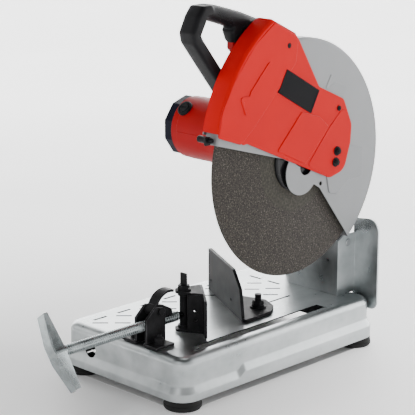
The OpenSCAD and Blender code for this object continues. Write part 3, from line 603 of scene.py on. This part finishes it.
def guard():
    """Pressed guard: side plate, rolled rim and a flange at the back, with raised panels."""
    low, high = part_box("disc_guard")
    radius = 184.5
    roll = 5.0
    face = high.x
    start, end, steps = 164.5, -50, 86
    flange = 34
    section = []
    for i in range(7):
        a = math.radians(90 * i / 6)
        section.append((radius - roll + roll * math.sin(a), face - (roll - roll * math.cos(a)) * MM))
    section += [(radius, low.x + 0.002), (radius - 0.6, low.x + 0.0006), (radius - 2, low.x),
                (radius - flange, low.x)]
    bm = bmesh.new()
    columns = []
    for r, x in section:
        columns.append([bm.verts.new(v) for v in on_arm(arc((0, 0), r, start, end, steps), x)])
    for a, b in zip(columns, columns[1:]):
        for i in range(steps):
            bm.faces.new((a[i], a[i + 1], b[i + 1], b[i]))
    foot = arc(FOOT_CENTRE, 36, -41, -214, 24)
    inner = [bm.verts.new(v) for v in on_arm([GUARD_VALLEY, *foot, GUARD_FRONT], face)]
    edge = columns[0][::-1]
    bm.faces.new([*edge, *inner[::-1]])
    ob = from_bmesh("disc_guard_pressed", bm)
    thick = ob.modifiers.new("sheet", "SOLIDIFY")
    thick.thickness = 0.0015
    thick.offset = -1
    apply_modifiers(ob)
    cutters = bmesh.new()
    for place, r in (((15, -11), 13.5), ((49, -43.5), 3.2)):
        matrix = Matrix.Translation(on_arm([place], face)[0]) @ Matrix.Rotation(math.pi / 2, 4, "Y")
        bmesh.ops.create_cone(cutters, cap_ends=True, segments=40, radius1=r * MM, radius2=r * MM,
                              depth=0.012, matrix=matrix)
    boolean(ob, from_bmesh("guard_cutters", cutters))
    soften(ob, 0.0004, 2, 40)
    settle(ob, "guard_paint", "arm", ["disc_guard"], angle=32)

    back = face - 0.0003
    raised = rounded([(70, 12, 4), (98, 12, 3), (147, -3, 5), (147, -48, 5), (114, -48, 5), (87, -66, 8),
                      (68, -62, 6), (62, -36, 6)])
    settle(panel("guard_panel_rear", raised, back, face + 0.0016, 0.0012), "guard_paint", "arm")
    upper = rounded([(79, 110, 3), (105, 100, 4), (101, 82, 4), (70, 74, 4), (44, 94, 4)])
    settle(panel("guard_panel_upper", upper, back, face + 0.0002, 0.0004), "guard_paint", "arm")
    rib = rounded([(56, 103, 1.5), (59.5, 102, 1.5), (71.5, 121, 1.5), (68.5, 123, 1.5)])
    settle(panel("guard_rib", rib, back, face + 0.0006, 0.0008), "guard_paint", "arm")


COVER_CENTRE = (44.6, 20)    # centre of the cover's front arc
COVER_RADIUS = 227
COVER_ARC = (168.2, 119.5)   # its two ends, in degrees
COVER_SIDE = [(-16, 192, 4), (-8, 182, 6), (38, 108, 8), (96, 82, 12), (116, 40, 22), (114, 12, 12),
              (100, -30, 22), (66, -37, 16), (-118, 44, 6), (-134, 42, 4)]


def cover():
    """Moulded cover: side panel, a ridge round the front arc, the front wall and raised fields."""
    low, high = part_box("red_cover")
    side, back = high.x, low.x
    outline = arc(COVER_CENTRE, COVER_RADIUS - 4.2, *COVER_ARC, 24) + rounded(COVER_SIDE)
    settle(panel("cover_side", outline, side - 0.0022, side, 0.0009), "red_shell", "arm", ["red_cover"])
    # section of the front wall and its ridge: (millimetres out from the arc, place along X)
    section = [(-2.4, back), (0, back), (0.3, side - 0.0050), (-0.1, side - 0.0022), (-1.4, side - 0.0002),
               (-2.6, side + 0.0009), (-4.4, side + 0.0012), (-6.0, side + 0.0006), (-7.2, side - 0.0004),
               (-7.2, side - 0.0030), (-3.4, side - 0.0052)]
    rings = []
    steps = 40
    start, end = COVER_ARC
    for i in range(steps + 1):
        a = start + (end - start) * i / steps
        points = []
        for outward, x in section:
            points += on_arm(arc(COVER_CENTRE, COVER_RADIUS + outward, a, a, 1)[:1], x)
        rings.append(points)
    settle(loft(rings, "cover_front_wall"), "red_shell", "arm")
    # top wall behind the handle, from the ridge to the first sloping edge
    top = [(-68.5, 219), (-16, 193.5), (-8, 182), (2, 166), (0, 165), (-10, 180.5), (-18, 191), (-69, 216)]
    settle(panel("cover_top_wall", top, back + 0.004, side - 0.001, 0.0006), "red_shell", "arm")

    # raised fields, whose edges are the lines across the side: name, outline, rise
    fields = [
        ("front", [(-62, 214, 6), (-16, 190, 6), (-12, 183, 4), (-16, 150, 10), (-104, 66, 8), (-126, 49, 2),
                   (-133, 45, 4), (-178, 61, 4), (-171, 97, 60), (-146, 139, 60), (-104, 186, 60)], 0.0014),
        ("middle", [(-2, 75, 3), (-55, 23, 3), (8, -6, 3), (62, 43, 3), (40, 62, 12)], 0.0013),
        ("rear", [(62, 42, 4), (14, -9, 4), (60, -33, 10), (98, -26, 20), (112, 14, 14), (113, 40, 20),
                  (96, 76, 12), (84, 60, 10)], 0.0008),
    ]
    for name, corners, rise in fields:
        field = panel(f"cover_field_{name}", rounded(corners), side - 0.0015, side + rise, rise * 0.9, 4)
        settle(field, "red_shell", "arm")
    emboss = rounded([(-71, 157, 1.5), (-75, 158, 1.5), (-114, 119, 3), (-116, 113, 2), (-130, 114, 3),
                      (-134, 110, 2), (-124, 86, 1.5), (-121.5, 87, 1.5), (-127, 108, 4), (-112, 107, 4),
                      (-109, 116, 4)])
    settle(panel("cover_emboss", emboss, side, side + 0.0026, 0.0012, 4), "red_shell", "arm")


def cover_fittings():
    """Blank name plate in its frame, the cover's screws and the guard's bolts."""
    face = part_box("red_cover")[1].x
    tilt = math.radians(-29)
    centre = (-9.3, 106.8)
    outer, inner = (41.8, 18.6), (40.0, 16.9)

    def tilted(half):
        c, s = math.cos(tilt), math.sin(tilt)
        corners = [(half[0] * sx, half[1] * sy) for sx, sy in ((-1, -1), (1, -1), (1, 1), (-1, 1))]
        return [(centre[0] + x * c - y * s, centre[1] + x * s + y * c) for x, y in corners]

    base = face + 0.0013
    backing = panel("label_backing", tilted(outer), face - 0.001, base, 0.0003)
    settle(backing, "black_plastic", "arm", material=HOLE_BLACK)
    border = panel("label_frame", tilted(outer), base, base + 0.0007, 0.0003)
    boolean(border, panel("label_cut", tilted(inner), base - 0.001, base + 0.002, 0.0001))
    settle(border, "label_black", "arm", ["label_plate"])
    settle(panel("label_field", tilted(inner), base, base + 0.0003, 0.0001), "label_black", "arm")

    for i, p in enumerate([(-32, 177), (84, 69)]):
        point = on_arm([p], face + 0.0002)[0]
        hex_bolt(f"cover_screw_{i}", point, (1, 0, 0), 0.0021, 0.0012, [(0.0041, 0.0013)], body="arm")
    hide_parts("cover_screws")
    for i, p in enumerate([(81, 3), (78, -14)]):
        point = on_arm([p], face + 0.0006)[0]
        hex_bolt(f"guard_bolt_{i}", point, (1, 0, 0), 0.0056, 0.0040, [(0.0074, 0.0012)], (0.0030, 0.0012),
                 body="arm")
    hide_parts("guard_bolts")


def knob():
    """Round knob with its pin, and a small lug, at the front end of the guard."""
    low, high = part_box("guard_knob")
    centre = on_arm([(-184, 57)], 0)[0]
    x0, x1 = low.x, high.x
    grip, pin = 0.0050, 0.0038
    profile = [(x0, 0.0015), (x0, 0.0042), (x0 + 0.0010, grip), (x0 + 0.0158, grip), (x0 + 0.0170, 0.0043),
               (x0 + 0.0175, pin), (x1 - 0.0020, pin), (x1 - 0.0008, 0.0033), (x1, 0.0022), (x1, 0.0015)]
    turned = lathe("guard_knob_turned", profile, centre, count=20)
    settle(turned, "black_plastic", "arm", ["guard_knob"], angle=25)
    lug = rounded([(-192, 50, 2), (-181, 50, 2), (-181, 62, 2), (-192, 62, 2)])
    settle(panel("guard_knob_lug", lug, ARBOR.x - 0.001, ARBOR.x + 0.002, 0.0006), "black_plastic", "arm")


# ---- disc and its clamp ----

def disc():
    """Cutting disc: pressed grit with a worn edge and a smoother centre on both faces."""
    low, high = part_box("cutting_disc")
    r = (high.z - low.z) / 2
    a, b = low.x, high.x
    bore, centre = 0.0128, 0.079
    profile = [(a, bore), (a, centre), (a + 0.0002, centre + 0.0005), (a + 0.0002, r - 0.0012),
               (a + 0.0007, r - 0.0003), (a + 0.0012, r), (b - 0.0012, r), (b - 0.0007, r - 0.0003),
               (b - 0.0002, r - 0.0012), (b - 0.0002, centre + 0.0005), (b, centre), (b, bore)]
    settle(lathe("cutting_disc_grit", profile, ARBOR, count=220), "abrasive", "disc", ["cutting_disc"])
    paper = 0.00015
    for name, x0, x1 in (("right", b, b + paper), ("left", a - paper, a)):
        profile = [(x0, 0.040), (x0, 0.0775), (x1, 0.0772), (x1, 0.040)]
        ring = lathe(f"disc_centre_{name}", profile, ARBOR, count=128)
        settle(ring, "abrasive", "disc", material=DISC_CENTRE)


def flanges():
    """Dished clamping flanges with a rolled edge, and the arbor bolt."""
    for node, s in (("outer_flange", 1), ("inner_flange", -1)):
        low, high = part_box(node)
        r = (high.z - low.z) / 2
        near, far = (low.x, high.x) if s > 0 else (high.x, low.x)
        profile = [(near + s * 0.0002, 0.0128), (near + s * 0.0006, 0.036), (near, 0.037), (near, r - 0.0008),
                   (near + s * 0.0008, r), (near + s * 0.0030, r), (near + s * 0.0042, r - 0.0012),
                   (near + s * 0.0046, r - 0.003), (near + s * 0.0034, r - 0.009), (near + s * 0.0034, 0.026),
                   (far, 0.022), (far, 0.0128)]
        settle(lathe(f"{node}_dished", profile, ARBOR, count=128), "gloss_black_steel", "disc", [node])
    cad_copy("arbor_bolt", 0.0005)


# ---- motor ----

def motor():
    """Red housing with its parting seams, faceted end cap with air slots, brush caps and the inlet."""
    low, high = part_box("motor_housing")
    cap_low, cap_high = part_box("motor_end_cap")
    r = (cap_high.z - cap_low.z) / 2
    centre = MOTOR
    x0, x1 = cap_high.x, high.x
    profile = [(x0, r - 0.003), (x0, r - 0.0006), (x0 + 0.0008, r), (x0 + 0.012, r),
               (x0 + 0.0125, r + 0.0004), (-0.004, r + 0.0004), (0.004, r + 0.0006), (0.012, r + 0.0018),
               (x1, r + 0.002), (x1, 0.014), (x1 - 0.005, 0.014), (x1 - 0.006, r - 0.003)]
    ob = lathe("motor_housing_shell", profile, centre)
    settle(ob, "red_plastic", "arm", ["motor_housing"], angle=30)
    seam = [(x0 + 0.014, r + 0.0003), (-0.004, r + 0.0003), (0.004, r + 0.0005), (0.012, r + 0.0017),
            (x1 - 0.002, r + 0.0019)]
    for name, side in (("front", -1), ("back", 1)):
        path = [Vector((x, centre.y + side * radius, centre.z)) for x, radius in seam]
        settle(tube(f"motor_housing_seam_{name}", path, 0.0006), "red_plastic", "arm")

    boss_angle = math.radians(44)
    brush_x = -0.058
    for name, turn, tall in (("front", 0.0, r + 0.0045), ("back", math.pi, r + 0.0020)):
        a = boss_angle + turn
        out = Vector((0, -math.sin(a), math.cos(a)))
        spin = Vector((0, 0, 1)).rotation_difference(out).to_matrix().to_4x4()
        middle = Vector((brush_x, centre.y, centre.z))

        def turned(label, profile):
            rings = []
            for radius, h in profile:
                steps = [math.tau * i / 40 for i in range(40)]
                ring = [Vector((radius * math.cos(t), radius * math.sin(t), h)) for t in steps]
                rings.append([middle + spin @ p for p in ring])
            return loft(rings, label)

        boss = turned(f"brush_ring_{name}",
                      [(0.0124, r - 0.009), (0.0124, tall - 0.0020), (0.0116, tall - 0.0008),
                       (0.0092, tall - 0.0006), (0.0086, tall - 0.0014), (0.0086, r - 0.007)])
        settle(boss, "black_plastic", "arm")
        cap = turned(f"brush_cap_{name}",
                     [(0.0079, r - 0.007), (0.0079, tall - 0.0012), (0.0071, tall - 0.0004),
                      (0.0004, tall - 0.0004)])
        bm = bmesh.new()
        box_verts(bm, (-0.0055, -0.0008, tall - 0.0012), (0.0055, 0.0008, tall + 0.001))
        bmesh.ops.transform(bm, matrix=Matrix.Translation(middle) @ spin, verts=bm.verts)
        boolean(cap, from_bmesh("cap_slot", bm))
        settle(cap, "black_plastic", "arm", ["brush_caps"] if name == "front" else [])

    # faceted end cap, with a ring of air slots
    c0, c1 = cap_low.x, cap_high.x
    profile = [(c1, r - 0.007), (c1, r - 0.0004), (c0 + 0.010, r - 0.0004), (c0 + 0.004, r - 0.006),
               (c0, r - 0.012), (c0, 0.006)]
    cap = lathe("motor_end_cap_moulded", profile, centre, count=10, phase=0.5, solid=True)
    cutters = bmesh.new()
    slots, slot_ring = 16, 0.023
    for k in range(slots):
        a = math.tau * k / slots
        middle = Vector((c0, centre.y + slot_ring * math.cos(a), centre.z + slot_ring * math.sin(a)))
        turn = Matrix.Rotation(a, 4, "X")
        matrix = Matrix.Translation(middle) @ turn @ Matrix.Diagonal((0.008, 0.012, 0.0022, 1))
        bmesh.ops.create_cube(cutters, size=1, matrix=matrix)
    boolean(cap, from_bmesh("cap_cutters", cutters))
    soften(cap, 0.0010, 3, 25)
    settle(cap, "navy_plastic", "arm", ["motor_end_cap"], angle=25)
    cad_copy("cable_gland", 0.0006)


# ---- handle ----

def soft_union(name, parts):
    """One moulded skin over several overlapping solids."""
    bm = bmesh.new()
    for part in parts:
        bm.from_mesh(part.data)
        bpy.data.objects.remove(part)
    ob = from_bmesh(name, bm)
    remesh = ob.modifiers.new("skin", "REMESH")
    remesh.mode = "VOXEL"
    remesh.voxel_size = 0.0016
    soft = ob.modifiers.new("soft", "SMOOTH")
    soft.factor = 0.5
    soft.iterations = 7
    fewer = ob.modifiers.new("fewer", "DECIMATE")
    fewer.ratio = 0.45
    return apply_modifiers(ob)


def limb(points, sizes, square):
    """Bar through arbor points; sizes are (half thickness, half width) in mm at each point.

    square is how boxy the section is: 2 is an oval, and a higher number is squarer.
    """
    count = 28
    middle = (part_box("handle_left")[0].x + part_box("handle_right")[1].x) / 2
    rings = []
    for i, p in enumerate(points):
        a = Vector(points[max(i - 1, 0)])
        b = Vector(points[min(i + 1, len(points) - 1)])
        along = (b - a).normalized()
        across = Vector((-along.y, along.x))
        ring = []
        for k in range(count):
            t = math.tau * k / count
            c, s = math.cos(t), math.sin(t)
            u = math.copysign(abs(c) ** (2 / square), c) * sizes[i][0]
            w = math.copysign(abs(s) ** (2 / square), s) * sizes[i][1]
            q = Vector(p) + across * u
            ring.append(Vector((middle + w * MM, ARBOR.y + q.x * MM, ARBOR.z + q.y * MM)))
        rings.append(ring)
    return loft(rings, "limb")


def handle():
    """D-handle: round grip, flat front bar, switch housing and the web down to the gearbox."""
    half = (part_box("handle_right")[1].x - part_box("handle_left")[0].x) / 2 / MM
    grip = limb([(-8, 168), (-30, 186), (-60, 202), (-90, 214), (-118, 223), (-142, 230), (-160, 234)],
                [(15, 14.5), (16, 15), (15, 15), (14, 15), (13, 15), (12.5, 15), (11, half)], 2.3)
    front = limb([(-152, 234.5), (-166, 234), (-173, 224), (-184, 203), (-182, 196), (-150, 156),
                  (-112, 110), (-70, 64)],
                 [(thick, half) for thick in (9, 10, 10, 9.5, 9, 9, 9.5, 12)], 5.0)
    switch = limb([(-106, 206), (-98, 200), (-80, 194), (-60, 190), (-40, 184)],
                  [(8, 12.5), (17, 13), (20, 13.5), (19, 13.5), (16, 13.5)], 3.0)
    web = limb([(-28, 182), (-12, 130), (0, 86)], [(17, half), (15, half), (17, half)], 4.0)
    ob = soft_union("handle_moulded", [grip, front, switch, web])
    settle(ob, "black_plastic", "arm", ["handle_left", "handle_right"], angle=60)
    # raised dots on the grip, in rows on its right side
    side = (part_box("handle_left")[0].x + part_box("handle_right")[1].x) / 2
    bm = bmesh.new()
    for row in range(5):
        for column in range(16):
            if column in (6, 7, 8):    # plain band round the middle of the grip
                continue
            along = -142 + column * 5.4 + (row % 2) * 2.7
            rise = 229.5 - 0.38 * (along + 142)
            up = (row - 2) * 3.4
            out = math.sqrt(max(0.0, 1 - (up / 15) ** 2)) * 0.0149
            point = on_arm([(along, rise + up)], side + out)[0]
            bmesh.ops.create_icosphere(bm, subdivisions=2, radius=0.00075, matrix=Matrix.Translation(point))
    settle(from_bmesh("handle_grip_dots", bm), "black_plastic", "arm")
    cad_copy("handle_screws", 0.0003)
    cad_copy("lock_off_button", 0.0010, 3)
    cad_copy("trigger", 0.0018, 4)


# ---- vise and fence ----

def spindle():
    """Vise screw with a cut thread and a plain neck."""
    low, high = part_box("vise_spindle")
    centre = JOINTS["screw_turn"]
    crest = (high.x - low.x) / 2
    root, pitch = crest - 0.0009, 0.0040
    start, neck = low.y, high.y - 0.025
    per = 24
    # one pitch of the thread: share of the pitch, and radius
    tooth = ((0.0, root), (0.22, root), (0.42, crest), (0.78, crest), (0.98, root))
    bm = bmesh.new()
    previous = None
    for i in range(int((neck - start) / pitch * per) + 1):
        a = math.tau * i / per
        row = []
        for share, r in tooth:
            y = min(neck, max(start, start + pitch * (i / per - 1 + share)))
            row.append(bm.verts.new((centre.x + r * math.cos(a), y, centre.z + r * math.sin(a))))
        if previous:
            for k in range(len(row) - 1):
                bm.faces.new((previous[k], previous[k + 1], row[k + 1], row[k]))
        previous = row
    settle(from_bmesh("vise_spindle_thread", bm), "zinc_thread", "screw", ["vise_spindle"])
    profile = [(low.y - 0.0004, root - 0.0005), (low.y, root - 0.0001), (neck, root + 0.0001),
               (neck + 0.001, 0.0050), (high.y - 0.003, 0.0050), (high.y - 0.0026, 0.0065),
               (high.y, 0.0065)]
    core = lathe("vise_spindle_core", profile, centre, axis=1, count=40, solid=True)
    settle(core, "zinc_thread", "screw")


def vise_and_fence():
    """Vise and fence pieces that keep the CAD form, and the fence bolts."""
    cad_copy("t_handle", 0.0010, 3)
    cad_copy("jaw_body", 0.0006, worn=True)
    cad_copy("jaw_plate", 0.0006, worn=True)
    cad_copy("jaw_pin", 0.0005)
    cad_copy("fence_plate", 0.0006, worn=True)
    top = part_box("fence_plate")[0].z + 0.005
    pivot = JOINTS["fence_angle"]
    # the lock bolt's place along and across the plate, which stands askew on the tray
    turn = math.radians(-28.2)
    along, across = -0.076, -0.021
    lock = Vector((along * math.cos(turn) - across * math.sin(turn),
                   along * math.sin(turn) + across * math.cos(turn)))
    for name, point in (("pivot", Vector((0, 0))), ("lock", lock)):
        centre = (pivot.x + point.x, pivot.y + point.y, top)
        hex_bolt(f"fence_bolt_{name}", centre, (0, 0, 1), 0.0092, 0.0070,
                 [(0.0125, 0.0020), (0.0100, 0.0018)], (0.0055, 0.0100), body="fence")
    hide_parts("fence_bolts")


# ---- room, light and camera ----

def staged(name, boxes, material):
    """Part of the room, as boxes given by their low and high corners."""
    bm = bmesh.new()
    for low, high in boxes:
        box_verts(bm, low, high)
    ob = from_bmesh(name, bm)
    ob.data.materials.append(material)


def room_paint(name):
    return plain(name, grey(0.93), 0.6, scale=3, vary=0.01)


def floor():
    """Pale glowing floor, dimmer close to the saw's front, and a patch without glow under the base."""
    white = room_paint("floor_white")
    tree = white.node_tree
    shader = tree.nodes["Principled BSDF"]
    shader.inputs["Emission Strength"].default_value = 2.4
    coords = tree.nodes.new("ShaderNodeTexCoord")
    away = tree.nodes.new("ShaderNodeVectorMath")
    away.operation = "DISTANCE"
    away.inputs[1].default_value = (-0.10, -0.30, 0)
    share = tree.nodes.new("ShaderNodeMath")
    share.operation = "DIVIDE"
    share.inputs[1].default_value = 3.0
    tree.links.new(coords.outputs["Object"], away.inputs[0])
    tree.links.new(away.outputs["Value"], share.inputs[0])
    stops = [(0.05, grey(0.04)), (0.24, grey(0.5)), (0.8, grey(1))]
    tree.links.new(ramp(tree, share.outputs[0], stops), shader.inputs["Emission Color"])
    staged("floor", [((-30, -30, -0.02), (30, 30, 0))], white)
    patch = [((-0.125, -0.21, -0.01), (0.125, 0.21, 0.0003))]
    staged("floor_under_base", patch, room_paint("floor_shade"))


def sky():
    """Pale all round and dark overhead."""
    world = bpy.data.worlds.new("studio")
    bpy.context.scene.world = world
    world.use_nodes = True
    tree = world.node_tree
    background = tree.nodes["Background"]
    background.inputs["Strength"].default_value = 1.0
    place = tree.nodes.new("ShaderNodeTexCoord")
    split = tree.nodes.new("ShaderNodeSeparateXYZ")
    tree.links.new(place.outputs["Generated"], split.inputs["Vector"])
    stops = [(0.0, grey(0.9)), (0.55, grey(0.8)), (0.8, grey(0.05)), (1.0, grey(0.03))]
    tree.links.new(ramp(tree, split.outputs["Z"], stops), background.inputs["Color"])


def area(name, place, target, size, power):
    """Rectangular lamp at a place, turned towards its target."""
    data = bpy.data.lights.new(name, "AREA")
    data.shape = "RECTANGLE"
    data.size, data.size_y = size
    data.energy = power
    lamp = bpy.data.objects.new(name, data)
    bpy.context.scene.collection.objects.link(lamp)
    lamp.location = place
    lamp.rotation_euler = (Vector(target) - Vector(place)).to_track_quat("-Z", "Y").to_euler()


def lamps():
    """Four soft lamps: front, right, left and overhead."""
    area("key", (0.6, -2.1, 1.5), (0, 0, 0.25), (0.9, 0.9), 4.0)
    area("side", (2.2, 0.6, 0.9), (0, 0, 0.3), (0.5, 1.4), 0.7)
    area("left", (-1.8, -1.2, 1.1), (0, 0, 0.3), (0.8, 1.4), 4.5)
    area("top", (0, 0.3, 2.2), (0, 0, 0.1), (0.8, 0.8), 6)


def backdrop():
    """Bright walls far behind the saw, on two sides."""
    lit = room_paint("backdrop_white")
    shader = lit.node_tree.nodes["Principled BSDF"]
    shader.inputs["Emission Color"].default_value = (1, 1, 1, 1)
    shader.inputs["Emission Strength"].default_value = 3.2
    staged("backdrop", [((-28, 28, 0), (28, 28.02, 21)), ((-28.02, 3.5, 0), (-28, 28, 21))], lit)


def camera():
    """Long lens from the front right, a little above."""
    data = bpy.data.cameras.new("camera")
    data.sensor_width = 36
    data.lens = 133.4
    ob = bpy.data.objects.new("camera", data)
    bpy.context.scene.collection.objects.link(ob)
    ob.location = (1.5962, -1.6410, 0.8342)
    ob.rotation_euler = (math.radians(75.5), 0, math.radians(44.8))
    bpy.context.scene.camera = ob


tray()
feet()
base_fittings()
return_spring()
guard()
cover()
cover_fittings()
knob()
disc()
flanges()
motor()
handle()
spindle()
vise_and_fence()
floor()
sky()
lamps()
backdrop()
camera()
